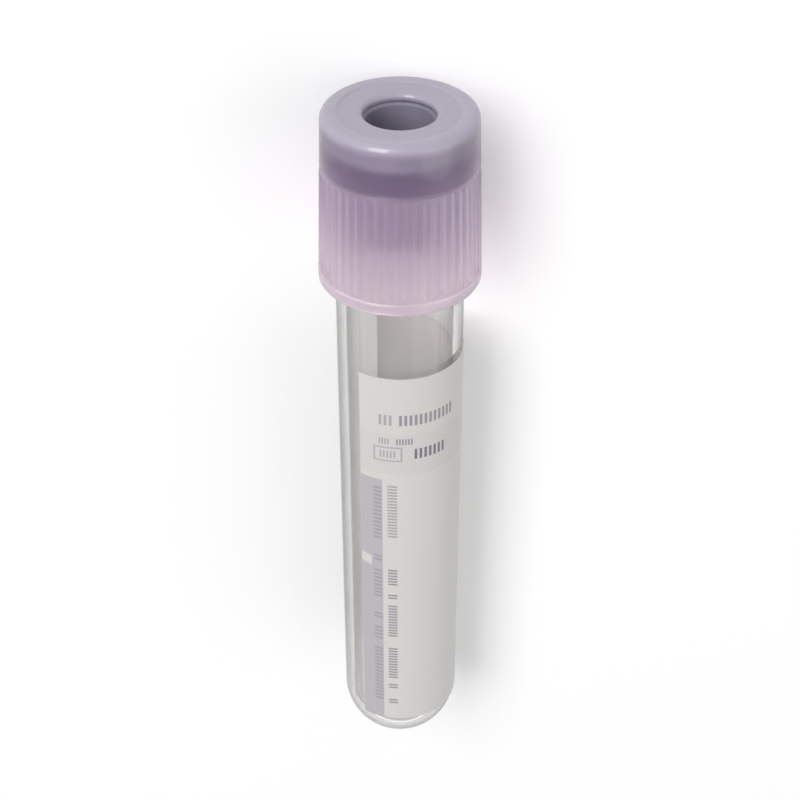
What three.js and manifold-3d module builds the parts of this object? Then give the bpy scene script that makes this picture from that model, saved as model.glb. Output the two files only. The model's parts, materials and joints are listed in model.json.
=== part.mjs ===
// A blood collection tube with a two-piece safety closure, lying on its side as it comes to rest.
// The pieces are drawn upright, foot at zero and closure up the +Z axis, and the whole is then laid down.
// Millimetres, +Z up. Once laid, the closure points to +Y and the labelled front faces up.
import * as THREE from "three";
import { mergeVertices } from "three/addons/utils/BufferGeometryUtils.js";
import Module from "manifold-3d";

// Tube: a moulded clear tube with a round foot, a little narrower at the foot so that it leaves its mould.
const tubeLength = 75;
const mouthDiameter = 13;
const mouldTaper = 0.4;
const tubeWall = 1.0;
const rimRound = 0.3;

// Stopper: a plug in the tube's mouth, a flange on its rim and a head with the needle well.
const plugLength = 7.5;
const plugCavityDiameter = 6.0;
const plugCavityTopDiameter = 4.8;
const plugCavityDepth = 4.4;
const plugLeadIn = 0.8;
const flangeOverhang = 0.45;
const flangeHeight = 2.0;
const headDiameter = 10.4;
const headHeight = 1.9;
const wellDiameter = 6.6;
const wellDepth = 3.4;
const wellRound = 0.3;

// Shield: a cover snapped over the stopper, with a long ribbed skirt round the tube's mouth.
const shieldHeight = 18.0;
const bandWall = 0.55;
const bandDraft = 0.15;
const skirtWall = 0.55;
const skirtFlare = 0.32;
const hemHeight = 1.2;
const hemProud = 0.1;
const hemRound = 0.3;
const topWall = 0.9;
const topRound = 0.8;
const needleHoleDiameter = 7.0;
const needleHoleRound = 0.25;
const retainerInset = 0.4;
const retainerHeight = 0.6;
const retainerSlope = 0.8;
const ribCount = 48;
const ribRadius = 0.3;
const ribProud = 0.17;
const ribGap = 0.2;

// Label: one sheet of paper wrapped round the tube, with a clear window left open along its side.
const labelFootDrop = 0.7;
const labelRimGap = 21.5;
const labelWrap = THREE.MathUtils.degToRad(245);
const labelLeftEdge = THREE.MathUtils.degToRad(-39);
const labelThickness = 0.12;

// Clearances between neighbouring pieces.
const plugClearance = 0.1;
const seatClearance = 0.1;
const stopperClearance = 0.1;
const mouthClearance = 0.15;
const labelClearance = 0.05;

// Facets round the axis, along a small rounded edge, up the round foot and round a rib.
// With this many round the axis, a facet lies within 0.1 mm of the true round and is wide enough to rest on.
const facets = 24;
const roundSteps = 3;
const footSteps = 9;
const ribSides = 8;

const mouthRadius = mouthDiameter / 2;
const footRadius = (mouthDiameter - mouldTaper) / 2;

const wasm = await Module();
wasm.setup();

// The tube's outer radius at a height above its foot.
function tubeRadiusAt(height) {
  const share = (height - footRadius) / (tubeLength - footRadius);
  return footRadius + (mouthRadius - footRadius) * share;
}

// Points of a round stretch of a profile, by its centre, radius and two angles from the outward direction.
function arc(centreRadius, centreHeight, radius, fromDegrees, toDegrees, steps = roundSteps) {
  const points = [];
  for (let i = 0; i <= steps; i++) {
    const angle = THREE.MathUtils.degToRad(fromDegrees + ((toDegrees - fromDegrees) * i) / steps);
    points.push([centreRadius + radius * Math.cos(angle), centreHeight + radius * Math.sin(angle)]);
  }
  return points;
}

// Turns a profile of [radius, height] points about +Z, with a flat facet, not a corner, on each main axis.
function turned(profile) {
  const points = profile.map(([radius, height]) => new THREE.Vector2(Math.max(radius, 0), height));
  const halfFacet = Math.PI / facets;
  return new THREE.LatheGeometry(points, facets, halfFacet).rotateX(Math.PI / 2);
}

// A closed mesh as a solid that can be joined and cut.
function toSolid(geometry) {
  const bare = geometry.index ? geometry.toNonIndexed() : geometry.clone();
  bare.deleteAttribute("normal");
  bare.deleteAttribute("uv");
  const merged = mergeVertices(bare, 1e-4);
  return new wasm.Manifold(
    new wasm.Mesh({
      numProp: 3,
      vertProperties: new Float32Array(merged.attributes.position.array),
      triVerts: new Uint32Array(merged.index.array),
    }),
  );
}

// A solid back as a mesh geometry.
function toGeometry(solid) {
  const made = solid.getMesh();
  const geometry = new THREE.BufferGeometry();
  geometry.setAttribute("position", new THREE.BufferAttribute(made.vertProperties, 3));
  geometry.setIndex(new THREE.BufferAttribute(made.triVerts, 1));
  geometry.computeVertexNormals();
  return geometry;
}

function tubeGeometry() {
  const innerFoot = footRadius - tubeWall;
  const innerMouth = mouthRadius - tubeWall;
  return turned([
    ...arc(0, footRadius, footRadius, -90, 0, footSteps),
    ...arc(mouthRadius - rimRound, tubeLength - rimRound, rimRound, 0, 90),
    ...arc(innerMouth + rimRound, tubeLength - rimRound, rimRound, 90, 180),
    ...arc(0, footRadius, innerFoot, 0, -90, footSteps),
  ]);
}

// Heights of the closure's seats, all counted from the tube's rim.
const flangeFoot = tubeLength + seatClearance;
const flangeTop = flangeFoot + flangeHeight;
const headTop = flangeTop + headHeight;
const shieldCeiling = headTop + stopperClearance;
const shieldTop = shieldCeiling + topWall;
const shieldFoot = shieldTop - shieldHeight;
const flangeRadius = mouthRadius + flangeOverhang;

function stopperGeometry() {
  const plugFoot = tubeLength - plugLength;
  const boreRadiusAt = (height) => tubeRadiusAt(height) - tubeWall;
  const plugTopRadius = boreRadiusAt(tubeLength) - plugClearance;
  const plugFootRadius = boreRadiusAt(plugFoot) - plugClearance;
  const headRadius = headDiameter / 2;
  const wellRadius = wellDiameter / 2;
  const wellFloor = headTop - wellDepth;
  return turned([
    [0, plugFoot + plugCavityDepth],
    [plugCavityTopDiameter / 2, plugFoot + plugCavityDepth],
    [plugCavityDiameter / 2, plugFoot],
    [plugFootRadius - plugLeadIn, plugFoot],
    [plugFootRadius, plugFoot + plugLeadIn],
    [plugTopRadius, flangeFoot],
    ...arc(flangeRadius - rimRound, flangeFoot + rimRound, rimRound, -90, 0),
    ...arc(flangeRadius - rimRound, flangeTop - rimRound, rimRound, 0, 90),
    [headRadius, flangeTop],
    ...arc(headRadius - rimRound, headTop - rimRound, rimRound, 0, 90),
    ...arc(wellRadius + rimRound, headTop - rimRound, rimRound, 90, 180),
    ...arc(wellRadius - wellRound, wellFloor + wellRound, wellRound, 0, -90),
    [0, wellFloor],
  ]);
}

// The shield's inner radii clear the stopper and the tube, and its outer ones follow by the wall.
const collarRadius = headDiameter / 2 + stopperClearance;
const chamberRadius = flangeRadius + stopperClearance;
const retainerRadius = mouthRadius + mouthClearance;
const skirtTopRadius = retainerRadius + retainerInset;
const bandRadius = chamberRadius + bandWall;
const hemRadius = skirtTopRadius + skirtFlare + skirtWall + ribProud + hemProud;

// Heights of the shield's edges.
const retainerTop = flangeFoot - stopperClearance;
const retainerFoot = retainerTop - retainerHeight;
const wallFoot = shieldFoot + hemHeight;

// The outer radius of the skirt's wall between its ribs, at a height.
function wallRadiusAt(height) {
  const share = (height - wallFoot) / (retainerFoot - wallFoot);
  return skirtTopRadius + skirtWall + skirtFlare * (1 - share);
}

function shieldBody() {
  const holeRadius = needleHoleDiameter / 2;
  const shoulder = flangeTop + stopperClearance;
  const profile = [
    [wallRadiusAt(wallFoot) - skirtWall, shieldFoot],
    ...arc(hemRadius - hemRound, shieldFoot + hemRound, hemRound, -90, 0),
    [hemRadius, wallFoot - hemRound],
    [wallRadiusAt(wallFoot), wallFoot],
    [wallRadiusAt(retainerFoot), retainerFoot],
    [bandRadius + bandDraft, retainerTop],
    ...arc(bandRadius - topRound, shieldTop - topRound, topRound, 0, 90),
    ...arc(holeRadius + needleHoleRound, shieldTop - needleHoleRound, needleHoleRound, 90, 180),
    [holeRadius, shieldCeiling],
    [collarRadius, shieldCeiling],
    [collarRadius, shoulder],
    [chamberRadius, shoulder],
    [chamberRadius, retainerTop],
    [retainerRadius, retainerTop],
    [retainerRadius, retainerFoot],
    [skirtTopRadius, retainerFoot - retainerSlope],
  ];
  return toSolid(turned([...profile, profile[0]]));
}

// One grip rib: a thin half-sunk bar that leans with the skirt's draft.
function ribSolid(angle) {
  const foot = wallFoot - hemProud;
  const top = retainerFoot - ribGap;
  const sunk = ribRadius - ribProud;
  const length = top - foot;
  const middleRadius = wallRadiusAt((foot + top) / 2) - sunk;
  const lean = Math.atan((wallRadiusAt(top) - wallRadiusAt(foot)) / length);
  const bar = new THREE.CylinderGeometry(ribRadius, ribRadius, length, ribSides)
    .rotateX(Math.PI / 2)
    .rotateY(lean)
    .translate(middleRadius, 0, (foot + top) / 2)
    .rotateZ(angle);
  return toSolid(bar);
}

function shieldGeometry() {
  let shield = shieldBody();
  for (let i = 0; i < ribCount; i++) {
    shield = shield.add(ribSolid((2 * Math.PI * (i + 0.5)) / ribCount));
  }
  return toGeometry(shield);
}

// The pie-shaped prism that the label's ring is cut to. The front is -Y, and angles grow towards +X.
function labelSector() {
  const reach = mouthDiameter;
  const front = -Math.PI / 2;
  const shape = new THREE.Shape();
  shape.moveTo(0, 0);
  shape.absarc(0, 0, reach, front + labelLeftEdge, front + labelLeftEdge + labelWrap, false);
  shape.lineTo(0, 0);
  const prism = new THREE.ExtrudeGeometry(shape, {
    depth: tubeLength,
    bevelEnabled: false,
    curveSegments: facets / 4,
  });
  return toSolid(prism);
}

// The label starts a little below where the round foot begins, and ends short of the closure.
const labelFoot = footRadius - labelFootDrop;
const labelTop = tubeLength - labelRimGap;

function labelGeometry() {
  const innerAt = (height) => tubeRadiusAt(height) + labelClearance;
  const ring = [
    [innerAt(labelFoot), labelFoot],
    [innerAt(labelFoot) + labelThickness, labelFoot],
    [innerAt(labelTop) + labelThickness, labelTop],
    [innerAt(labelTop), labelTop],
    [innerAt(labelFoot), labelFoot],
  ];
  return toGeometry(toSolid(turned(ring)).intersect(labelSector()));
}

const clearPlastic = new THREE.MeshStandardMaterial({
  color: 0xe6e6e4,
  roughness: 0.08,
  metalness: 0,
  transparent: true,
  opacity: 0.3,
});
const greyRubber = new THREE.MeshStandardMaterial({ color: 0x7d7888, roughness: 0.75, metalness: 0 });
const lavenderPlastic = new THREE.MeshStandardMaterial({ color: 0xb9a3c0, roughness: 0.45, metalness: 0 });
const whitePaper = new THREE.MeshStandardMaterial({ color: 0xf1efea, roughness: 0.8, metalness: 0 });

function piece(name, geometry, material) {
  const mesh = new THREE.Mesh(geometry, material);
  mesh.name = name;
  return mesh;
}

const uprightTube = new THREE.Group();
uprightTube.add(
  piece("tube", tubeGeometry(), clearPlastic),
  piece("label", labelGeometry(), whitePaper),
  piece("rubber_stopper", stopperGeometry(), greyRubber),
  piece("closure_shield", shieldGeometry(), lavenderPlastic),
);

// It rests on the shield's hem and on the label's lower edge, which leaves the closure end a little high.
const labelFootRadius = tubeRadiusAt(labelFoot) + labelClearance + labelThickness;
const hemContact = shieldFoot + hemRound;
const restRise = (hemRadius - labelFootRadius) * Math.cos(Math.PI / facets);
const restTilt = Math.atan(restRise / (hemContact - labelFoot));
uprightTube.rotation.x = restTilt - Math.PI / 2;

// The origin is on the surface that it lies on, under the middle of the whole.
const bloodTube = new THREE.Group();
bloodTube.add(uprightTube);
const bounds = new THREE.Box3().setFromObject(bloodTube, true);
const middle = bounds.getCenter(new THREE.Vector3());
uprightTube.position.set(-middle.x, -middle.y, -bounds.min.z);

export default bloodTube;
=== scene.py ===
import functools
import json
import math

import bmesh
import bpy
from bpy.props import FloatProperty, FloatVectorProperty, IntProperty, PointerProperty
from mathutils import Matrix, Vector


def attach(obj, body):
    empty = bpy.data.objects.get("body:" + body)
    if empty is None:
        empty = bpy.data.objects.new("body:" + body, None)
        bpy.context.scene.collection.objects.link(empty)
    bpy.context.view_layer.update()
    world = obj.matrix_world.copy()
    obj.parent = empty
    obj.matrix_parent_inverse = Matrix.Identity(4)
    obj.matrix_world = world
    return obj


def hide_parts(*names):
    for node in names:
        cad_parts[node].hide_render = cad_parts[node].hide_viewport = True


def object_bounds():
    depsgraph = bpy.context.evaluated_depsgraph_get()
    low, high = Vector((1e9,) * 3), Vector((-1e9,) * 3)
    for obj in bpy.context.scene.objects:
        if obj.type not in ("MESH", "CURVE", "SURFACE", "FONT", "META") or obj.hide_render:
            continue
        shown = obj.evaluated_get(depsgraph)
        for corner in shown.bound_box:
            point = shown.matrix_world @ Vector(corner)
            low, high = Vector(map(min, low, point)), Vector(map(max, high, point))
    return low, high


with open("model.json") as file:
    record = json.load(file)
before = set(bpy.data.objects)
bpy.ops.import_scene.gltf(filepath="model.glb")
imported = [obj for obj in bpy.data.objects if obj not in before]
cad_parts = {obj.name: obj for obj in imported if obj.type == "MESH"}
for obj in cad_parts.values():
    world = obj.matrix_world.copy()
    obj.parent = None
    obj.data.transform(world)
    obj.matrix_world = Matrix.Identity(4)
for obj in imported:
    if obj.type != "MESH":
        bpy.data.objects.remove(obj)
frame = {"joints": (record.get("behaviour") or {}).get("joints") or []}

bl_info = {
    "name": "Blood Collection Tube",
    "version": (1, 0, 0),
    "blender": (4, 5, 0),
    "location": "View3D > Sidebar > Blood Tube",
    "description": "Models a clear round-bottomed tube with its label, stopper and safety shield",
    "category": "Object",
}

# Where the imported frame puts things: the tube's axis, its rim and the box of the whole part.
CAD_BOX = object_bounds()
JOINTS = {joint["name"]: joint for joint in frame["joints"]}
AXIS = Vector(JOINTS["closure_pull"]["axis"]).normalized()
RIM = Vector(JOINTS["shield_twist"]["pos_m"])
RIGHT = Vector((1, 0, 0))
# Out of the labelled front, which faces -Y while a piece still stands upright.
FRONT = -AXIS.cross(RIGHT)

MM = 0.001
SEGMENTS = 96
WELD = 1e-6
# How near a vertex has to lie to the place that it is picked by, in millimetres.
REACH = 0.02
# How far the shallow round recess in the closure's top lies in from the closure's edge, in millimetres.
RECESS_INSET = 1.7
# The spin operator turns from +X towards +Y about this axis.
SPIN_AXIS = (0, 0, -1)
# The label's UV map is in decimetres, so that the whole label lies between 0 and 1.
UV_PER_METRE = 10


# ---------------------------------------------------------------- sizes and colours


def length(name, description, default):
    """A length in millimetres, kept in metres as Blender's own units are."""
    return FloatProperty(
        name=name, description=description, default=default * MM,
        min=0, soft_max=0.1, precision=5, subtype="DISTANCE", unit="LENGTH",
    )


def angle(name, description, degrees):
    """An angle given in degrees, kept in radians."""
    return FloatProperty(
        name=name, description=description, default=math.radians(degrees),
        subtype="ANGLE", unit="ROTATION",
    )


def share(name, description, default):
    """A part of a whole, from 0 to 1."""
    return FloatProperty(
        name=name, description=description, default=default,
        min=0, max=1, subtype="FACTOR",
    )


def colour(name, description, default):
    """A colour as linear red, green and blue."""
    return FloatVectorProperty(
        name=name, description=description, default=default,
        size=3, min=0, max=1, subtype="COLOR",
    )


def power(name, description, default):
    """The power of a lamp in watts."""
    return FloatProperty(name=name, description=description, default=default, min=0, unit="POWER")


class TubeSettings(bpy.types.PropertyGroup):
    length: length("Length", "Overall length of the tube from foot to rim", 75)
    mouth_diameter: length("Mouth diameter", "Outer diameter at the rim", 13)
    foot_diameter: length("Foot diameter", "Outer diameter where the round foot begins", 12.6)
    wall: length("Wall", "Thickness of the moulded wall", 1.0)
    rim_round: length("Rim rounding", "Rounding of the rim's edges", 0.3)
    gate_diameter: length("Gate mark", "Diameter of the moulding mark under the foot", 1.7)
    haze: share("Haze", "Roughness of the clear plastic", 0.01)
    tint: colour("Tint", "Colour of the clear plastic seen straight through", (0.805, 0.795, 0.79))
    # Painted shade: along its outline, the clear plastic's colour darkens towards this, by how aslant it is
    # seen.
    painted_edge_shade: colour("Edge tint", "Colour of the clear plastic seen along its wall", (0.11, 0.105, 0.1))


class LabelSettings(bpy.types.PropertyGroup):
    foot_height: length("Lower edge", "Height of the lower edge above the tube's foot", 5.6)
    top_height: length("Upper edge", "Height of the upper edge above the tube's foot", 53.5)
    left_edge: angle("Left edge", "Angle of the left edge from the front, towards the right", -39)
    wrap: angle("Wrap", "Angle that the label goes round the tube", 245)
    thickness: length("Thickness", "Thickness of the paper with its glue", 0.12)
    paper: colour("Paper", "Colour of the bare paper", (0.645, 0.63, 0.61))
    band: colour("Band", "Colour of the printed stripe and band", (0.465, 0.437, 0.47))
    ink: colour("Ink", "Colour of the printed lines", (0.16, 0.14, 0.2))


class StopperSettings(bpy.types.PropertyGroup):
    plug_length: length("Plug length", "How far the plug goes into the tube", 7.5)
    ring_proud: length("Sealing ring", "How far the sealing rings stand proud of the plug", 0.09)
    flange_diameter: length("Flange diameter", "Diameter of the flange on the rim", 13.9)
    flange_height: length("Flange height", "Height of the flange above the rim", 2.1)
    head_diameter: length("Head diameter", "Diameter of the head above the flange", 10.4)
    head_height: length("Head height", "Height of the head above the rim", 4.0)
    well_diameter: length("Well diameter", "Diameter of the well that the needle goes into", 6.6)
    well_depth: length("Well depth", "Depth of the well below the head's top", 3.4)
    rubber: colour("Rubber", "Colour of the rubber", (0.18, 0.17, 0.22))


class ShieldSettings(bpy.types.PropertyGroup):
    height: length("Height", "Height of the shield from hem to top", 18.0)
    top_above_rim: length("Top above rim", "Height of the shield's top above the tube's rim", 5.0)
    top_diameter: length("Top diameter", "Diameter of the smooth band at the top", 15.2)
    hem_diameter: length("Hem diameter", "Diameter of the hem at the skirt's foot", 16.24)
    wall_diameter: length("Wall diameter", "Diameter between the ribs at the skirt's foot", 15.84)
    needle_hole: length("Needle hole", "Diameter of the hole over the stopper's well", 7.0)
    hole_round: length("Hole rounding", "Rounding of the hole's upper edge", 0.5)
    recess_depth: length("Recess depth", "Depth of the shallow round recess in the top", 0.14)
    rib_count: IntProperty(
        name="Ribs", description="Number of grip ribs round the skirt", default=48, min=12, max=96,
    )
    rib_proud: length("Rib height", "How far a rib stands proud of the wall", 0.17)
    thin_plastic: colour("Thin plastic", "Colour of the plastic low on the skirt", (0.88, 0.75, 0.855))
    # Painted shade: the skirt darkens from the thin plastic's colour to this one up towards the band.
    skirt_painted_shade: colour("Deep plastic", "Colour of the plastic high on the skirt", (0.71, 0.565, 0.745))
    # Painted shade: the wall over the stopper's flange and head takes this dark colour, standing in for the
    # dark rubber seen through it.
    backed_painted_shade: colour("Backed plastic", "Colour of the wall against the rubber", (0.325, 0.215, 0.39))
    thick_plastic: colour("Thick plastic", "Colour of the plastic in the thick top", (0.408, 0.384, 0.474))
    clearness: share("Clearness", "Share of the light that goes through the thin wall", 0.9)


class StageSettings(bpy.types.PropertyGroup):
    camera_distance: length("Camera distance", "Distance from the closure's top to the camera", 174)
    camera_rise: angle("Camera rise", "Angle of the camera above the closure's top face", 27.2)
    camera_dip: angle("Camera dip", "Angle between the view and the tube's cross-section", 36.2)
    lens: FloatProperty(
        name="Lens", description="Focal length of the camera's lens", default=82.5,
        min=20, subtype="DISTANCE_CAMERA",
    )
    key_power: power("Key light", "Power of the large soft light", 9.4)
    fill_power: power("Fill light", "Power of the light from the other side", 2.8)
    sky: share("Surroundings", "Strength of the even light from all round", 0.45)
    floor: colour("Floor", "Colour of the floor", (0.86, 0.86, 0.86))
    floor_glow: share("Floor lift", "How far the floor near the part is lifted towards white", 0.14)


# ---------------------------------------------------------------- modelling by hand


def laid(tube_length):
    """The matrix that lays the upright tube down as the frame has it, foot first."""
    foot = RIM - AXIS * tube_length
    turn = Matrix((RIGHT, -FRONT, AXIS)).transposed()
    return Matrix.Translation(foot) @ turn.to_4x4()


def begin(name, add, **size):
    """Adds a primitive as a new piece and opens it in edit mode with all of it selected."""
    bpy.ops.object.select_all(action="DESELECT")
    add(**size)
    made = bpy.context.object
    made.name = made.data.name = name
    bpy.ops.object.transform_apply(location=True, rotation=True, scale=True)
    bpy.ops.object.mode_set(mode="EDIT")
    bpy.ops.mesh.select_all(action="SELECT")
    return made


def pick(piece, wanted):
    """Selects the vertices of the piece being edited whose place passes the test, and nothing else."""
    bpy.ops.mesh.select_all(action="DESELECT")
    mesh = bmesh.from_edit_mesh(piece.data)
    chosen = [v for v in mesh.verts if wanted(v.co)]
    for vertex in chosen:
        vertex.select_set(True)
    mesh.select_flush(True)
    bmesh.update_edit_mesh(piece.data)
    if not chosen:
        raise RuntimeError(f"nothing to pick on {piece.name}")
    return chosen


def near(radius, height):
    """A test for the point of an outline at a radius and height in millimetres."""
    return lambda place: math.hypot(place.x / MM - radius, place.z / MM - height) < REACH


def draw_outline(name, points, roundings=()):
    """Draws an outline in the XZ plane, point by point from one vertex, and rounds its corners.

    Points are (radius, height) in millimetres; a rounding is (radius, height, offset, steps)."""
    piece = begin(name, bpy.ops.mesh.primitive_circle_add, vertices=3, radius=MM)
    bpy.ops.mesh.merge(type="CENTER")
    places = [Vector((radius * MM, 0, height * MM)) for radius, height in points]
    bpy.ops.transform.translate(value=places[0])
    for start, end in zip(places, places[1:]):
        bpy.ops.mesh.extrude_region_move(TRANSFORM_OT_translate={"value": end - start})
    bpy.ops.mesh.select_all(action="SELECT")
    bpy.ops.mesh.remove_doubles(threshold=WELD)
    for radius, height, offset, steps in roundings:
        pick(piece, near(radius, height))
        bpy.ops.mesh.bevel(affect="VERTICES", offset=offset * MM, segments=steps)
    bpy.ops.mesh.select_all(action="SELECT")
    return piece


def turn_outline():
    """Spins the outline being edited all the way round the upright axis and welds its seam and poles."""
    bpy.ops.mesh.spin(steps=SEGMENTS, angle=2 * math.pi, center=(0, 0, 0), axis=SPIN_AXIS)
    close_mesh()


def close_mesh():
    """Welds the mesh being edited and points its faces outwards."""
    bpy.ops.mesh.select_all(action="SELECT")
    bpy.ops.mesh.remove_doubles(threshold=WELD)
    bpy.ops.mesh.normals_make_consistent(inside=False)


def add_and_apply(kind, **settings):
    """Adds a modifier to the active piece and applies it, in object mode."""
    bpy.ops.object.modifier_add(type=kind)
    modifier = bpy.context.object.modifiers[-1]
    for key, setting in settings.items():
        setattr(modifier, key, setting)
    bpy.ops.object.modifier_apply(modifier=modifier.name)


def thicken(thickness, **settings):
    """Gives the surface being edited its thickness."""
    bpy.ops.object.mode_set(mode="OBJECT")
    add_and_apply("SOLIDIFY", thickness=thickness, use_even_offset=True, **settings)
    bpy.ops.object.mode_set(mode="EDIT")


def finish_piece(piece, material):
    """Closes edit mode, smooths the piece and lays it down in the frame's place."""
    bpy.ops.object.mode_set(mode="OBJECT")
    bpy.ops.object.shade_smooth_by_angle(angle=math.radians(35))
    # Large faces keep their own normals, so that a rounding doesn't shade the wall beside it.
    add_and_apply("WEIGHTED_NORMAL", keep_sharp=True)
    piece.data.materials.append(material)
    piece.matrix_world = laid(bpy.context.scene.tube_settings.length)
    bpy.ops.object.transform_apply(location=True, rotation=True, scale=True)


# ---------------------------------------------------------------- materials


class Value:
    """A socket that varies over a surface. Arithmetic on it adds the Math nodes."""

    def __init__(self, paint, socket):
        self.paint = paint
        self.socket = socket

    def maths(self, operation, *inputs):
        return self.paint.node("ShaderNodeMath", {"operation": operation}, dict(enumerate(inputs)))

    def __add__(self, other):
        return self.maths("ADD", self, other)

    def __radd__(self, other):
        return self.maths("ADD", other, self)

    def __sub__(self, other):
        return self.maths("SUBTRACT", self, other)

    def __rsub__(self, other):
        return self.maths("SUBTRACT", other, self)

    def __mul__(self, other):
        return self.maths("MULTIPLY", self, other)

    def __rmul__(self, other):
        return self.maths("MULTIPLY", other, self)

    def __truediv__(self, other):
        return self.maths("DIVIDE", self, other)

    def __lt__(self, other):
        return self.maths("LESS_THAN", self, other)

    def __mod__(self, other):
        return self.maths("FLOORED_MODULO", self, other)

    def __abs__(self):
        return self.maths("ABSOLUTE", self)

    def whole(self):
        return self.maths("FLOOR", self)

    def least(self, other):
        return self.maths("MINIMUM", self, other)

    def most(self, other):
        return self.maths("MAXIMUM", self, other)

    def rise(self, start, end):
        """0 below start and 1 above end, with a smooth step between them."""
        return self.paint.node(
            "ShaderNodeMapRange", {"interpolation_type": "SMOOTHSTEP"},
            {"Value": self, "From Min": start, "From Max": end},
        )


class Paint:
    """The nodes of one material, or of the surroundings."""

    def __init__(self, name, library="materials"):
        self.owner = getattr(bpy.data, library).new(name)
        self.owner.use_nodes = True
        self.tree = self.owner.node_tree
        self.tree.nodes.clear()

    def node(self, kind, settings=None, inputs=None, output=0):
        """Adds a node of a kind: its settings first, then the values or links of its sockets."""
        made = self.tree.nodes.new(kind)
        for key, setting in (settings or {}).items():
            setattr(made, key, setting)
        for key, given in (inputs or {}).items():
            if isinstance(given, Value):
                self.tree.links.new(given.socket, made.inputs[key])
            else:
                made.inputs[key].default_value = given
        return Value(self, made.outputs[output]) if made.outputs else made

    def upright(self):
        """The place on the upright piece in millimetres, with the tube's foot at the origin."""
        place = laid(bpy.context.scene.tube_settings.length)
        coordinates = self.node("ShaderNodeTexCoord", output="Object")
        return self.node(
            "ShaderNodeMapping", {"vector_type": "TEXTURE"},
            {
                "Vector": coordinates,
                "Location": place.to_translation(),
                "Rotation": place.to_euler(),
                "Scale": (MM, MM, MM),
            },
        )

    def split(self, vector):
        """The x, y and z of a vector."""
        parts = self.node("ShaderNodeSeparateXYZ", {}, {"Vector": vector}).socket.node
        return [Value(self, socket) for socket in parts.outputs]

    def stretch(self, vector, scale):
        return self.node("ShaderNodeVectorMath", {"operation": "MULTIPLY"}, {0: vector, 1: scale})

    def noise(self, vector, scale, detail=2.0, roughness=0.5):
        return self.node(
            "ShaderNodeTexNoise", {},
            {"Vector": vector, "Scale": scale, "Detail": detail, "Roughness": roughness},
        )

    def mix(self, factor, first, second):
        """A colour between two colours."""
        def opaque(tint):
            return tint if isinstance(tint, Value) else (*tint, 1)

        return self.node(
            "ShaderNodeMix", {"data_type": "RGBA"},
            {0: factor, 6: opaque(first), 7: opaque(second)}, output=2,
        )

    def bump(self, height, distance, strength=1.0):
        """A normal from a height; the distance is in millimetres."""
        return self.node(
            "ShaderNodeBump", {},
            {"Strength": strength, "Distance": distance * MM, "Height": height},
        )

    def plastic(self, **sockets):
        """A Principled shader with the given sockets."""
        named = {key.replace("_", " "): given for key, given in sockets.items()}
        return self.node("ShaderNodeBsdfPrincipled", {}, named)

    def let_lamps_through(self, shader, tint, amount):
        """Lets lamplight through a clear piece, so that it doesn't shade what is inside it."""
        clear = self.node("ShaderNodeBsdfTransparent", {}, {"Color": (*tint, 1)})
        return self.node("ShaderNodeMixShader", {}, {0: self.ray("Shadow") * amount, 1: shader, 2: clear})

    def ray(self, *kinds):
        """1 for rays of the given kinds, such as those from the camera."""
        seen = [self.node("ShaderNodeLightPath", output=f"Is {kind} Ray") for kind in kinds]
        return functools.reduce(Value.most, seen)

    def finish(self, shader, output="ShaderNodeOutputMaterial"):
        self.node(output, {}, {"Surface": shader})
        return self.owner


def shaded(tint, factor):
    """A colour made darker, or paler where the factor is above 1."""
    return tuple(min(1, factor * part) for part in tint)


def clear_polyester(sizes):
    """Clear moulded polyester with painted shade: darkened along its outline and in a line where its bore
    ends, by how aslant the surface is seen, with a faint mist of the dried additive."""
    paint = Paint("clear_polyester")
    place = paint.upright()
    waves = paint.noise(paint.stretch(place, (1, 1, 0.15)), 0.3, 1)
    mist = 0.045 * paint.noise(paint.stretch(place, (1, 1, 0.4)), 0.35, 3).rise(0.42, 0.72)
    # Painted shade: the colour darkens by how aslant the surface is seen, along the outline and in a line
    # where the bore ends.
    aslant = paint.node("ShaderNodeLayerWeight", {}, {"Blend": 0.5}, output="Facing")
    painted_bore_line = 0.25 * (aslant.rise(0.4, 0.47) * (1 - aslant.rise(0.5, 0.6)))
    outline = aslant.rise(0.42, 0.9)
    dark = (painted_bore_line + outline + mist).least(1)
    return paint.finish(paint.let_lamps_through(
        paint.plastic(
            Base_Color=paint.mix(dark, sizes.tint, sizes.painted_edge_shade),
            Roughness=sizes.haze,
            Transmission_Weight=1.0,
            IOR=1.57,
            Normal=paint.bump(waves, 0.03, 0.2),
        ),
        tint=(0.96, 0.96, 0.96), amount=1.0,
    ))


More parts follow.
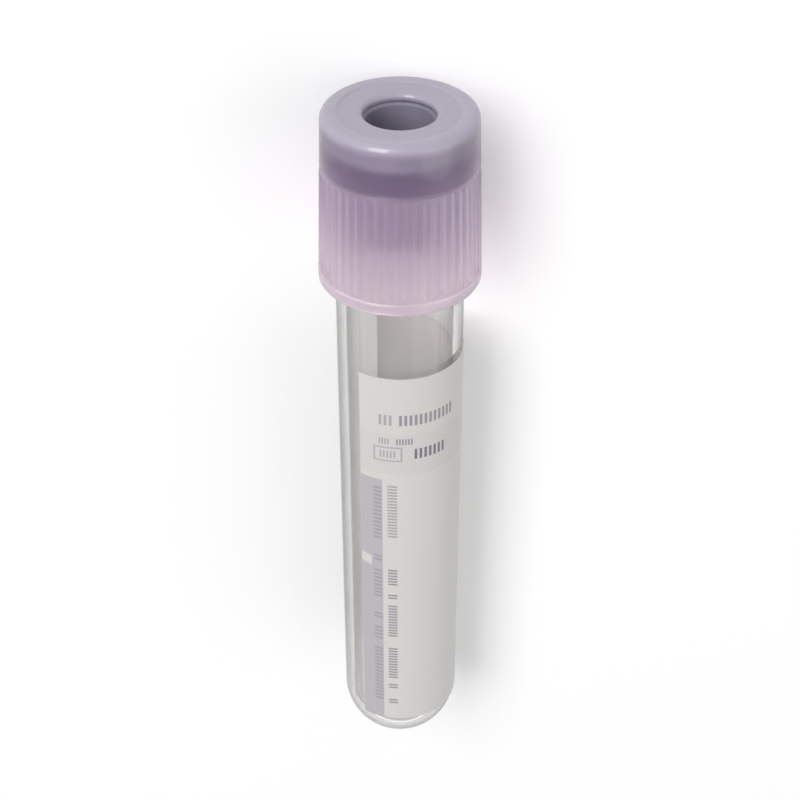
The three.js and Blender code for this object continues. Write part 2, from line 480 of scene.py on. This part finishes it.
def lavender_polyethylene(sizes, rim):
    """Translucent lavender plastic: palest low on the skirt and darker towards the band as painted shade,
    painted dark as shade where it lies against the stopper's flange, milky in the thick top, and rougher,
    with painted shade, in the top's recess."""
    paint = Paint("lavender_polyethylene")
    place = paint.upright()
    across, deep, up = paint.split(place)
    top = rim + sizes.top_above_rim / MM
    recess_radius = sizes.top_diameter / 2 / MM - RECESS_INSET
    from_axis_squared = across * across + deep * deep
    in_recess = from_axis_squared.rise(recess_radius ** 2, (recess_radius - 0.1) ** 2)
    recess = in_recess * up.rise(top - 0.4, top - 0.2)
    flow = paint.noise(paint.stretch(place, (1, 1, 0.12)), 1.1, 3)
    grain = paint.noise(place, 6, 3)
    gloss = {"IOR": 1.5, "Normal": paint.bump(grain, 0.01), "Coat_Weight": 0.7, "Coat_Roughness": 0.05}

    def streaked(tint):
        return paint.mix(flow, tint, shaded(tint, 0.95))

    # Painted shade: the skirt's colour darkens up towards the band.
    skirt = paint.mix(up.rise(rim - 11, rim - 2), streaked(sizes.thin_plastic), streaked(sizes.skirt_painted_shade))
    # Painted shade: darker where the wall lies over the stopper's flange and head.
    backed_painted_shade_mask = up.rise(rim - 0.5, rim + 0.1) * (1 - up.rise(rim + 3.4, rim + 4.8))
    satin = 0.42 + 0.08 * grain
    thin = paint.plastic(
        Base_Color=paint.mix(backed_painted_shade_mask, skirt, streaked(sizes.backed_painted_shade)),
        Roughness=satin,
        Transmission_Weight=sizes.clearness,
        **gloss,
    )
    # In the top's recess the plastic is rougher, and its colour is 7% darker as painted shade.
    thick = paint.plastic(
        Base_Color=paint.mix(recess, streaked(sizes.thick_plastic), shaded(sizes.thick_plastic, 0.93)),
        Roughness=satin + 0.12 * recess,
        **gloss,
    )
    thickness = 0.35 * up.rise(rim + 1.8, rim + 3.2) + 0.65 * up.rise(rim + 3.7, rim + 4.8)
    return paint.finish(paint.let_lamps_through(
        paint.node("ShaderNodeMixShader", {}, {0: thickness * 0.88, 1: thin, 2: thick}),
        tint=(0.93, 0.86, 0.92), amount=0.9,
    ))


def grey_rubber(sizes):
    """Matt butyl rubber with a fine grain."""
    paint = Paint("grey_rubber")
    place = paint.upright()
    grain = paint.noise(place, 5, 4, 0.6)
    cloud = paint.noise(place, 0.5, 2)
    return paint.finish(paint.plastic(
        Base_Color=paint.mix(cloud, sizes.rubber, shaded(sizes.rubber, 1.3)),
        Roughness=0.5 + 0.2 * grain,
        IOR=1.5,
        Normal=paint.bump(grain, 0.02),
    ))


def printed_paper(sizes):
    """The label's face: pale paper with a stripe, a faint band, a box, ruled lines and rows of ticks.

    All places are in millimetres: across from the left edge, and up from the tube's foot."""
    paint = Paint("printed_paper")
    flat = paint.node("ShaderNodeUVMap", {"uv_map": "label"})
    across, up, _ = paint.split(flat)
    across, up = across / (UV_PER_METRE * MM), up / (UV_PER_METRE * MM)

    def inside(place, start, end, soft=0.04):
        """1 between two places along one direction of the label."""
        return (abs(place - (start + end) / 2) - (end - start) / 2).rise(soft, -soft)

    def block(left, right, low, high):
        """1 inside a rectangle."""
        return inside(across, left, right) * inside(up, low, high)

    def ticks(along, aside, start, end, middle, height, pitch=0.4):
        """A row of even ticks for a printed word. The pitch is a share of the ticks' height."""
        half_tick, soft = 0.27, 0.09
        tick = (abs((along / (pitch * height)) % 1 - 0.5) - half_tick).rise(soft, -soft)
        return tick * inside(aside, middle - height / 2, middle + height / 2) * inside(along, start, end)

    def line(along, aside, start, end, middle, height, seed, pitch=0.4):
        """A row of ticks with gaps here and there for a printed line."""
        pair, filled = 2 * pitch * height, 0.8
        start, end = round(start / pair) * pair, round(end / pair) * pair
        group = (along / pair).whole() + seed
        chance = paint.node("ShaderNodeTexWhiteNoise", {"noise_dimensions": "1D"}, {"W": group})
        return (chance < filled) * ticks(along, aside, start, end, middle, height, pitch)

    foot, top = sizes.foot_height / MM, sizes.top_height / MM
    column_foot, column_top = foot + 2.5, top - 13.5
    near_column, far_column = 1.95, 3.55

    # A patch of colour that reaches an edge is drawn past it.
    stripe = block(-1, 2.5, foot - 1, top - 12.9)
    notch = inside(across, -1, 1.25) * inside(up + 0.17 * across, top - 24.8, top - 23.5)
    band = block(-1, 30, top - 12.1, top - 6.9)
    tinted = (stripe * (1 - notch)).most(0.14 * band)

    # Where each row starts and ends, its middle below the upper edge, its height and its darkness.
    rows = (
        (2.08, 3.64, 5.1, 1.3, 0.7),
        (4.16, 10.4, 5.1, 1.3, 1),
        (2.1, 3.3, 7.8, 0.75, 0.7),
        (3.9, 5.7, 7.8, 0.75, 1),
        (2.16, 3.96, 9.45, 0.9, 0.6),
        (5.72, 9.36, 9.45, 1.3, 1.3),
    )
    box = block(1.6, 4.6, top - 10.4, top - 8.5) * (1 - block(1.78, 4.42, top - 10.22, top - 8.68))
    marks = [
        0.6 * box,
        0.5 * line(up, across, column_foot, column_top, near_column, 0.95, seed=11.5, pitch=0.55),
        0.75 * ticks(up, across, top - 20.7, column_top, far_column, 1),
        ticks(up, across, top - 27.5, top - 25.1, far_column, 1),
        line(up, across, column_foot, top - 28.7, far_column, 1, seed=93.5),
    ]
    for start, end, below, height, darkness in rows:
        marks.append(darkness * ticks(across, up, start, end, top - below, height))
    for left in (15, 18.5, 22):
        marks.append(0.6 * block(left, left + 0.14, foot + 4, top - 14))
    inked = (0.75 * sum(marks)).least(1)

    fibre = paint.noise(flat, 900, 3)
    ground = paint.mix(0.35 * fibre, sizes.paper, shaded(sizes.paper, 0.93))
    return paint.finish(paint.plastic(
        Base_Color=paint.mix(inked, paint.mix(tinted, ground, sizes.band), sizes.ink),
        Roughness=0.5,
        Normal=paint.bump(fibre, 0.01),
    ))


def glued_paper_painted_light(sizes):
    """The label's glued side, seen through the tube, painted paler than the paper as painted light shining
    through it.
    """
    paint = Paint("glued_paper_painted_light")
    fibre = paint.noise(paint.upright(), 3, 3)
    return paint.finish(paint.plastic(
        Base_Color=paint.mix(fibre, shaded(sizes.paper, 1.1), shaded(sizes.paper, 1.3)),
        Roughness=0.6,
    ))


# ---------------------------------------------------------------- the pieces


class TUBE_OT_make_tube(bpy.types.Operator):
    """Model the clear round-bottomed tube"""

    bl_idname = "blood_tube.make_tube"
    bl_label = "Clear Tube"

    def execute(self, context):
        sizes = context.scene.tube_settings
        foot_radius = sizes.foot_diameter / 2
        piece = begin(
            "clear_tube", bpy.ops.mesh.primitive_uv_sphere_add,
            segments=SEGMENTS, ring_count=SEGMENTS // 2, radius=foot_radius, location=(0, 0, foot_radius),
        )
        bpy.ops.mesh.bisect(plane_co=(0, 0, foot_radius), plane_no=(0, 0, 1), clear_outer=True)
        pick(piece, lambda place: place.z > foot_radius - WELD)
        steps = 6
        rise = (sizes.length - foot_radius) / steps
        taper = sizes.mouth_diameter / 2 - foot_radius
        widths = [foot_radius + taper * i / steps for i in range(steps + 1)]
        for narrow, wide in zip(widths, widths[1:]):
            bpy.ops.mesh.extrude_region_move(TRANSFORM_OT_translate={"value": (0, 0, rise)})
            bpy.ops.transform.resize(value=(wide / narrow, wide / narrow, 1))
        gate = sizes.gate_diameter / 2
        pick(piece, lambda place: place.z < foot_radius / 2 and math.hypot(place.x, place.y) < gate)
        gate_edge, gate_depth = 0.08 * MM, 0.07 * MM
        bpy.ops.mesh.inset(thickness=gate_edge)
        bpy.ops.transform.translate(value=(0, 0, gate_depth))
        close_mesh()
        thicken(sizes.wall, offset=-1)
        pick(piece, lambda place: place.z > sizes.length - WELD)
        bpy.ops.mesh.bevel(offset=sizes.rim_round, segments=4)
        finish_piece(piece, clear_polyester(sizes))
        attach(piece, "tube")
        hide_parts("tube")
        return {"FINISHED"}


class TUBE_OT_make_label(bpy.types.Operator):
    """Model the paper label that is glued round the tube"""

    bl_idname = "blood_tube.make_label"
    bl_label = "Paper Label"

    def execute(self, context):
        sizes = context.scene.label_settings
        tube = context.scene.tube_settings
        foot_radius = tube.foot_diameter / 2

        def tube_radius(height):
            """The tube's outer radius at a height, on its round foot or on its tapered wall."""
            if height < foot_radius:
                return math.sqrt(foot_radius ** 2 - (foot_radius - height) ** 2)
            along = (height - foot_radius) / (tube.length - foot_radius)
            return foot_radius + (tube.mouth_diameter / 2 - foot_radius) * along

        # The glued side lies a hair inside the tube's surface, so that no gap shows.
        sunk = 0.01 * MM
        steps = 12
        heights = [sizes.foot_height, (sizes.foot_height + foot_radius) / 2]
        heights += [foot_radius + (sizes.top_height - foot_radius) * i / steps for i in range(steps + 1)]
        piece = draw_outline("paper_label", [((tube_radius(h) - sunk) / MM, h / MM) for h in heights])
        # An outline is drawn towards +X, a quarter turn on from the front at -Y.
        bpy.ops.transform.rotate(
            value=-(sizes.left_edge - math.pi / 2), orient_axis="Z", center_override=(0, 0, 0),
        )
        bpy.ops.mesh.spin(steps=SEGMENTS, angle=sizes.wrap, center=(0, 0, 0), axis=SPIN_AXIS)
        bpy.ops.mesh.select_all(action="SELECT")
        bpy.ops.mesh.normals_make_consistent(inside=False)
        bpy.ops.object.mode_set(mode="OBJECT")
        self.unroll(piece.data, sizes.left_edge)
        bpy.ops.object.mode_set(mode="EDIT")
        thicken(sizes.thickness, offset=1, material_offset=1)
        finish_piece(piece, printed_paper(sizes))
        # The glued side gets paper painted paler, as painted light shining through the paper.
        piece.data.materials.append(glued_paper_painted_light(sizes))
        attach(piece, "tube")
        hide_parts("label")
        return {"FINISHED"}

    def unroll(self, mesh, left_edge):
        """Lays the label flat in its UV map, measured from its left edge and from the tube's foot."""
        unrolled = mesh.uv_layers.new(name="label")
        # Keeps the left edge itself from counting as a whole turn.
        nudge = 1e-4
        for loop in mesh.loops:
            place = mesh.vertices[loop.vertex_index].co
            turned = (math.atan2(place.x, -place.y) - left_edge + nudge) % (2 * math.pi)
            across = turned * math.hypot(place.x, place.y)
            unrolled.data[loop.index].uv = (across * UV_PER_METRE, place.z * UV_PER_METRE)


class TUBE_OT_make_stopper(bpy.types.Operator):
    """Model the rubber stopper with its plug, flange, head and needle well"""

    bl_idname = "blood_tube.make_stopper"
    bl_label = "Rubber Stopper"

    def execute(self, context):
        sizes = context.scene.stopper_settings
        tube = context.scene.tube_settings
        rim = tube.length / MM
        bore = (tube.mouth_diameter / 2 - tube.wall) / MM
        plug = bore - sizes.ring_proud / MM - 0.01
        foot = rim - sizes.plug_length / MM
        flange = sizes.flange_diameter / 2 / MM
        head = sizes.head_diameter / 2 / MM
        well = sizes.well_diameter / 2 / MM
        flange_top = rim + sizes.flange_height / MM
        head_top = rim + sizes.head_height / MM
        floor = head_top - sizes.well_depth / MM
        floor_radius, floor_dip = well - 0.05, 0.12
        # The cavity in the plug widens towards its mouth, and the plug's own end is tapered.
        cavity_top, cavity, mouth = foot + 4.4, 2.4, 3.0
        end, taper, taper_top = plug - 0.8, plug - 0.04, foot + 0.9
        ring = plug + sizes.ring_proud / MM
        ring_foot, ring_crest = 0.45, 0.15
        points = [(0, cavity_top), (cavity, cavity_top), (mouth, foot), (end, foot), (taper, taper_top)]
        for height in (foot + 2.4, foot + 4.9):
            points += [
                (plug, height - ring_foot), (ring, height - ring_crest),
                (ring, height + ring_crest), (plug, height + ring_foot),
            ]
        points += [
            (plug, rim), (flange, rim), (flange, flange_top), (head, flange_top), (head, head_top),
            (well, head_top), (floor_radius, floor), (0, floor - floor_dip),
        ]
        roundings = [
            (cavity, cavity_top, 0.6, 4), (mouth, foot, 0.25, 3), (end, foot, 0.3, 3),
            (taper, taper_top, 0.4, 3), (flange, rim, 0.3, 4), (flange, flange_top, 0.3, 4),
            (head, flange_top, 0.15, 3), (head, head_top, 0.3, 4), (well, head_top, 0.3, 4),
            (floor_radius, floor, 0.45, 5),
        ]
        piece = draw_outline("stopper_rubber", points, roundings)
        turn_outline()
        finish_piece(piece, grey_rubber(sizes))
        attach(piece, "stopper")
        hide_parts("rubber_stopper")
        return {"FINISHED"}


class TUBE_OT_make_shield(bpy.types.Operator):
    """Model the translucent safety shield: one rib's slice of it, turned all the way round"""

    bl_idname = "blood_tube.make_shield"
    bl_label = "Safety Shield"

    # A rib's height over the columns of a slice, and where its two ends fade out along the wall.
    RIB_SHAPE = (0, 0, 0, 0.63, 0.91, 1, 0.91, 0.63, 0, 0, 0)
    END_STEPS = (0, 0.2, 0.45)

    def execute(self, context):
        sizes = context.scene.shield_settings
        rim = context.scene.tube_settings.length / MM
        top = rim + sizes.top_above_rim / MM
        foot = top - sizes.height / MM
        band = sizes.top_diameter / 2 / MM
        hem = sizes.hem_diameter / 2 / MM
        wall = sizes.wall_diameter / 2 / MM
        hole = sizes.needle_hole / 2 / MM
        recess = band - RECESS_INSET
        recess_edge = recess + 0.15
        recess_floor = top - sizes.recess_depth / MM
        wall_foot, wall_top = foot + 1.2, rim - 0.5

        def clear_of(size, gap=0.1):
            """A neighbour's size with a gap added, to a micrometre."""
            return round(size / MM + gap, 3)

        # The inside follows the stopper's head and flange. A ring under the flange holds them together, and
        # its top lies in the plane of the flange's underside, so the two faces just touch.
        stopper = context.scene.stopper_settings
        head, ceiling = clear_of(stopper.head_diameter / 2), rim + clear_of(stopper.head_height)
        flange, flange_top = clear_of(stopper.flange_diameter / 2), rim + clear_of(stopper.flange_height)
        ring = clear_of(context.scene.tube_settings.mouth_diameter / 2, gap=0.15)
        ring_foot, ring_end = rim - 0.6, rim - 1.4
        inner_hem = hem - 0.75
        hem_step = wall_foot + 0.05
        shoulder, shoulder_top = band + 0.15, wall_top + 0.22

        def wall_radius(height):
            """The radius between the ribs, on the skirt's slightly tapered wall."""
            return wall + (band - wall) * (height - wall_foot) / (wall_top - wall_foot)

        low = [wall_foot + 0.25 + step for step in self.END_STEPS]
        high = [wall_top - 0.2 - step for step in reversed(self.END_STEPS)]
        points = [
            (inner_hem, foot), (hem, foot), (hem, wall_foot), (wall, hem_step),
            *[(wall_radius(height), height) for height in low + high],
            (wall_radius(wall_top), wall_top), (shoulder, shoulder_top),
            (band, top), (recess_edge, top), (recess, recess_floor), (hole, recess_floor),
            (hole, ceiling), (head, ceiling), (head, flange_top), (flange, flange_top), (flange, rim),
            (ring, rim), (ring, ring_foot), (flange, ring_end), (inner_hem, foot),
        ]
        roundings = [
            (inner_hem, foot, 0.15, 3), (hem, foot, 0.3, 4), (hem, wall_foot, 0.15, 4),
            (wall, hem_step, 0.08, 2), (wall_radius(wall_top), wall_top, 0.06, 2),
            (shoulder, shoulder_top, 0.1, 3), (band, top, 0.8, 8),
            (recess_edge, top, 0.12, 3), (recess, recess_floor, 0.12, 3),
            (hole, recess_floor, sizes.hole_round / MM, 6), (hole, ceiling, 0.15, 3),
        ]
        piece = draw_outline("safety_shield", points, roundings)
        columns = len(self.RIB_SHAPE) - 1
        slice_angle = 2 * math.pi / sizes.rib_count
        bpy.ops.mesh.spin(steps=columns, angle=slice_angle, center=(0, 0, 0), axis=SPIN_AXIS)
        self.raise_rib(piece, sizes, slice_angle / columns, low, high, wall_radius)
        bpy.ops.mesh.select_all(action="SELECT")
        bpy.ops.mesh.spin(
            steps=sizes.rib_count - 1, angle=2 * math.pi - slice_angle, dupli=True,
            center=(0, 0, 0), axis=SPIN_AXIS,
        )
        close_mesh()
        finish_piece(piece, lavender_polyethylene(sizes, rim))
        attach(piece, "shield")
        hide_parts("closure_shield")
        return {"FINISHED"}

    def raise_rib(self, piece, sizes, column_angle, low, high, wall_radius):
        """Moves the wall's points of a slice outwards, column by column, into one rib with faded ends."""
        # Each pair of rows, low and high, gets its own share of the rib's height.
        rows = {0.7: (low[1], high[1]), 1.0: (low[2], high[0])}
        for number, height in enumerate(self.RIB_SHAPE):
            if not height:
                continue
            turned = number * column_angle
            outwards = Vector((math.cos(turned), math.sin(turned), 0))
            for fade, row in rows.items():
                def on_rib(place):
                    radius = math.hypot(place.x, place.y) / MM
                    return (
                        abs(math.atan2(place.y, place.x) - turned) < column_angle / 4
                        and any(abs(place.z / MM - level) < REACH for level in row)
                        and abs(radius - wall_radius(place.z / MM)) < REACH
                    )

                pick(piece, on_rib)
                bpy.ops.transform.translate(value=outwards * sizes.rib_proud * height * fade)


# ---------------------------------------------------------------- the stage


def look(view, top):
    """The rotation of a camera or lamp that looks along view with top upwards in its picture."""
    back = -view.normalized()
    right = top.cross(back).normalized()
    return Matrix((right, back.cross(right), back)).transposed().to_euler()


class TUBE_OT_set_stage(bpy.types.Operator):
    """Set the floor, the soft lights, the surroundings and the camera"""

    bl_idname = "blood_tube.set_stage"
    bl_label = "Stage"

    def execute(self, context):
        sizes = context.scene.stage_settings
        self.add_floor(sizes)
        self.add_lights(sizes)
        self.add_surroundings(context.scene, sizes)
        self.add_camera(context.scene, sizes)
        context.scene.view_settings.view_transform = "Standard"
        return {"FINISHED"}

    def add_floor(self, sizes):
        bpy.ops.object.select_all(action="DESELECT")
        # A hair below the part, so that the two surfaces don't flicker.
        height = CAD_BOX[0][2] - 0.02 * MM
        bpy.ops.mesh.primitive_plane_add(size=8, location=(0, 0, height))
        floor = bpy.context.object
        floor.name = "floor"
        paint = Paint("pale_floor")
        across, along, _ = paint.split(paint.node("ShaderNodeTexCoord", output="Object"))
        # Between 0.1 m and 0.32 m from the origin the floor turns plain white.
        far = (across * across + along * along).rise(0.01, 0.1)
        glow = paint.mix(far, (sizes.floor_glow,) * 3, (1, 1, 1))
        lifted = paint.mix(paint.ray("Camera", "Transmission"), (0, 0, 0), glow)
        floor.data.materials.append(paint.finish(paint.plastic(
            Base_Color=(*sizes.floor, 1),
            Roughness=0.8,
            Specular_IOR_Level=0.2,
            Emission_Color=lifted,
            Emission_Strength=1.0,
        )))

    def add_lights(self, sizes):
        middle = Vector((0, 0, 0.01))
        along = Vector((0, 1, 0))
        lamps = (
            ("key_light", Vector((-0.5, 0.6, 0.85)), 0.5, 0.9, sizes.key_power),
            ("fill_light", Vector((0.9, -0.1, 0.7)), 0.9, 1.0, sizes.fill_power),
        )
        for name, place, width, long, watts in lamps:
            bpy.ops.object.light_add(type="AREA", location=place, rotation=look(middle - place, along))
            lamp = bpy.context.object
            lamp.name = name
            lamp.data.shape = "RECTANGLE"
            lamp.data.size, lamp.data.size_y = width, long
            lamp.data.energy = watts

    def add_surroundings(self, scene, sizes):
        paint = Paint("white_surroundings", "worlds")
        lit = paint.node("ShaderNodeBackground", {}, {"Color": (1, 1, 1, 1), "Strength": sizes.sky})
        white = paint.node("ShaderNodeBackground", {}, {"Color": (1, 1, 1, 1), "Strength": 1})
        seen = paint.ray("Camera", "Transmission", "Glossy")
        scene.world = paint.finish(
            paint.node("ShaderNodeMixShader", {}, {0: seen, 1: lit, 2: white}), "ShaderNodeOutputWorld",
        )

    def add_camera(self, scene, sizes):
        top = RIM + AXIS * scene.shield_settings.top_above_rim
        rise, dip = sizes.camera_rise, sizes.camera_dip
        place = top + (FRONT * math.cos(rise) + AXIS * math.sin(rise)) * sizes.camera_distance
        view = -(FRONT * math.cos(dip) + AXIS * math.sin(dip))
        bpy.ops.object.camera_add(location=place, rotation=look(view, AXIS))
        camera = bpy.context.object
        camera.name = "camera"
        camera.data.lens = sizes.lens
        camera.data.clip_start = 0.005
        scene.camera = camera


class VIEW3D_PT_blood_tube(bpy.types.Panel):
    bl_label = "Blood Collection Tube"
    bl_idname = "VIEW3D_PT_blood_tube"
    bl_space_type = "VIEW_3D"
    bl_region_type = "UI"
    bl_category = "Blood Tube"

    def draw(self, context):
        for operator, group in STEPS:
            box = self.layout.box()
            box.operator(operator)
            settings = getattr(context.scene, group)
            for key in settings.__annotations__:
                box.prop(settings, key)


STEPS = (
    ("blood_tube.make_tube", "tube_settings"),
    ("blood_tube.make_label", "label_settings"),
    ("blood_tube.make_stopper", "stopper_settings"),
    ("blood_tube.make_shield", "shield_settings"),
    ("blood_tube.set_stage", "stage_settings"),
)
GROUPS = {
    "tube_settings": TubeSettings,
    "label_settings": LabelSettings,
    "stopper_settings": StopperSettings,
    "shield_settings": ShieldSettings,
    "stage_settings": StageSettings,
}
CLASSES = (
    *GROUPS.values(),
    TUBE_OT_make_tube,
    TUBE_OT_make_label,
    TUBE_OT_make_stopper,
    TUBE_OT_make_shield,
    TUBE_OT_set_stage,
    VIEW3D_PT_blood_tube,
)


def register():
    for made in CLASSES:
        bpy.utils.register_class(made)
    for name, group in GROUPS.items():
        setattr(bpy.types.Scene, name, PointerProperty(type=group))


def unregister():
    for name in GROUPS:
        delattr(bpy.types.Scene, name)
    for made in reversed(CLASSES):
        bpy.utils.unregister_class(made)


def main():
    register()
    bpy.ops.blood_tube.make_tube()
    bpy.ops.blood_tube.make_label()
    bpy.ops.blood_tube.make_stopper()
    bpy.ops.blood_tube.make_shield()
    bpy.ops.blood_tube.set_stage()


if __name__ == "__main__":
    main()
